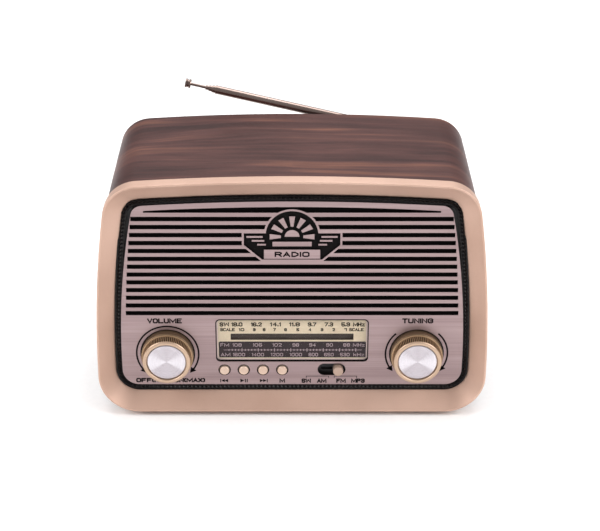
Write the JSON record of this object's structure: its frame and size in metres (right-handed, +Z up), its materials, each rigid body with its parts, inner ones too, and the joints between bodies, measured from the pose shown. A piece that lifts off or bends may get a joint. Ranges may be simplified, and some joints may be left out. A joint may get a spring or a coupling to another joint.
{
  "type": "tabletop radio",
  "caption": "Retro tabletop radio with a bowed wood-grain cabinet, champagne bezel, slotted metal grille, tuning dial, two knobs and a folding telescopic antenna.",
  "frame": {"origin": "on the surface it stands on, midway between its left and right sides and between the knob caps and the antenna screw", "axes": "+Z up, -Y out of the front, +X to the right of someone facing the front"},
  "size_m": [0.2226, 0.1192, 0.1676],
  "materials": {
    "wood_veneer": "satin walnut-grain foil",
    "bezel_champagne": "satin champagne lacquer",
    "trim_black": "embossed rope texture",
    "brushed_mauve": "horizontally brushed, anodised",
    "badge_black": "black recess under raised brushed relief",
    "cloth_black": "open weave",
    "clear_window": "clear acrylic",
    "dial_print": "printed cream and maroon",
    "pointer_red": "gloss",
    "knob_bronze": "satin bronze plating, knurled band",
    "spun_aluminium": "spun face",
    "button_cream": "satin",
    "plastic_black": "fine moulded grain",
    "plastic_grey": "moulded",
    "steel": "zinc plated",
    "antenna_chrome": "polished, warm tint",
    "brass": "turned",
    "rubber_black": "moulded",
    "circuit_green": "solder mask",
    "cone_paper": "pressed paper",
    "ferrite_grey": "sintered",
    "coil_copper": "enamelled copper winding",
    "cord_tan": "braided",
    "battery_blue": "shrink sleeve"
  },
  "bodies": {
    "root": {"cabinet_shell": "wood_veneer", "front_bezel": "bezel_champagne", "trim_ring": "trim_black", "front_panel": "brushed_mauve", "badge": "badge_black", "grille_cloth": "cloth_black", "inner_baffle": "plastic_black", "dial_lens": "clear_window", "dial_plate": "dial_print", "guide_rod": "steel", "dial_cord": "cord_tan", "tuning_bushing": "brass", "shaft_nuts": "steel", "tuning_capacitor": "plastic_grey", "volume_potentiometer": "steel", "button_board": "circuit_green", "mode_switch_body": "steel", "speaker_basket": "steel", "speaker_magnet": "ferrite_grey", "speaker_surround": "rubber_black", "main_board": "circuit_green", "board_standoffs": "brass", "ferrite_rod": "ferrite_grey", "ferrite_coil": "coil_copper", "rear_cover": "plastic_black", "rear_screws": "steel", "battery_cell": "battery_blue", "jack_board": "circuit_green", "usb_socket": "steel", "card_socket": "steel", "aux_jack": "plastic_black", "power_jack": "plastic_black", "feet": "rubber_black", "antenna_screw": "steel"},
    "volume": {"volume_knob": "knob_bronze", "volume_knob_cap": "spun_aluminium", "volume_shaft": "steel"},
    "tuning": {"tuning_knob": "knob_bronze", "tuning_knob_cap": "spun_aluminium", "tuning_shaft": "steel", "tuning_drum": "plastic_grey"},
    "pointer": {"dial_pointer": "pointer_red", "pointer_carriage": "plastic_grey"},
    "idler": {"idler_pulley": "plastic_grey"},
    "previous": {"button_previous": "button_cream"},
    "play": {"button_play": "button_cream"},
    "next": {"button_next": "button_cream"},
    "mode_button": {"button_mode": "button_cream"},
    "mode_switch": {"mode_slider": "button_cream"},
    "cone": {"speaker_cone": "cone_paper"},
    "door": {"battery_door": "plastic_black"},
    "antenna_swivel": {"antenna_knuckle": "antenna_chrome", "elbow_pin": "steel"},
    "antenna_fold": {"antenna_elbow": "antenna_chrome", "antenna_tube_1": "antenna_chrome"},
    "section_2": {"antenna_tube_2": "antenna_chrome"},
    "section_3": {"antenna_tube_3": "antenna_chrome"},
    "section_4": {"antenna_tube_4": "antenna_chrome"},
    "section_5": {"antenna_rod": "antenna_chrome", "antenna_tip": "antenna_chrome"}
  },
  "joints": [
    {"name": "volume_turn", "type": "hinge", "parent": "root", "child": "volume", "pos_m": [-0.0715, -0.0504, 0.038], "axis": [0, 1, 0], "range_deg": [0, 300]},
    {"name": "tuning_turn", "type": "hinge", "parent": "root", "child": "tuning", "pos_m": [0.0715, -0.0504, 0.038], "axis": [0, 1, 0], "range_deg": [0, 180]},
    {"name": "pointer_travel", "type": "slide", "parent": "root", "child": "pointer", "axis": [1, 0, 0], "range_m": [0, 0.0702]},
    {"name": "idler_turn", "type": "hinge", "parent": "root", "child": "idler", "pos_m": [-0.05, -0.0334, 0.05578], "axis": [0, 1, 0], "range_deg": [0, 900]},
    {"name": "previous_press", "type": "slide", "parent": "root", "child": "previous", "axis": [0, 1, 0], "range_m": [0, 0.0007], "stiffness_N_per_m": 800, "springref_m": -0.0003},
    {"name": "play_press", "type": "slide", "parent": "root", "child": "play", "axis": [0, 1, 0], "range_m": [0, 0.0007], "stiffness_N_per_m": 800, "springref_m": -0.0003},
    {"name": "next_press", "type": "slide", "parent": "root", "child": "next", "axis": [0, 1, 0], "range_m": [0, 0.0007], "stiffness_N_per_m": 800, "springref_m": -0.0003},
    {"name": "mode_button_press", "type": "slide", "parent": "root", "child": "mode_button", "axis": [0, 1, 0], "range_m": [0, 0.0007], "stiffness_N_per_m": 800, "springref_m": -0.0003},
    {"name": "mode_select", "type": "slide", "parent": "root", "child": "mode_switch", "axis": [1, 0, 0], "range_m": [-0.0075, 0]},
    {"name": "cone_excursion", "type": "slide", "parent": "root", "child": "cone", "axis": [0, 1, 0], "range_m": [-0.0008, 0.0008], "stiffness_N_per_m": 2000},
    {"name": "door_hinge", "type": "hinge", "parent": "root", "child": "door", "pos_m": [-0.048, 0.0461, 0.02], "axis": [-1, 0, 0], "range_deg": [0, 90]},
    {"name": "antenna_turn", "type": "hinge", "parent": "root", "child": "antenna_swivel", "pos_m": [0.07, 0.0546, 0.1331], "axis": [0, 1, 0], "range_deg": [-13.4, 166.6]},
    {"name": "antenna_bend", "type": "hinge", "parent": "antenna_swivel", "child": "antenna_fold", "pos_m": [0.06076, 0.0546, 0.1353], "axis": [-0.2317, 0, -0.9728], "range_deg": [0, 90]},
    {"name": "section_2_pull", "type": "slide", "parent": "antenna_fold", "child": "section_2", "axis": [-0.9728, 0, 0.2317], "range_m": [0, 0.088]},
    {"name": "section_3_pull", "type": "slide", "parent": "section_2", "child": "section_3", "axis": [-0.9728, 0, 0.2317], "range_m": [0, 0.088]},
    {"name": "section_4_pull", "type": "slide", "parent": "section_3", "child": "section_4", "axis": [-0.9728, 0, 0.2317], "range_m": [0, 0.088]},
    {"name": "section_5_pull", "type": "slide", "parent": "section_4", "child": "section_5", "axis": [-0.9728, 0, 0.2317], "range_m": [0, 0.088]}
  ],
  "couplings": [
    {"joint": "pointer_travel", "follows": "tuning_turn", "m_per_rad": 0.02228},
    {"joint": "idler_turn", "follows": "tuning_turn", "ratio": 4.9511}
  ]
}
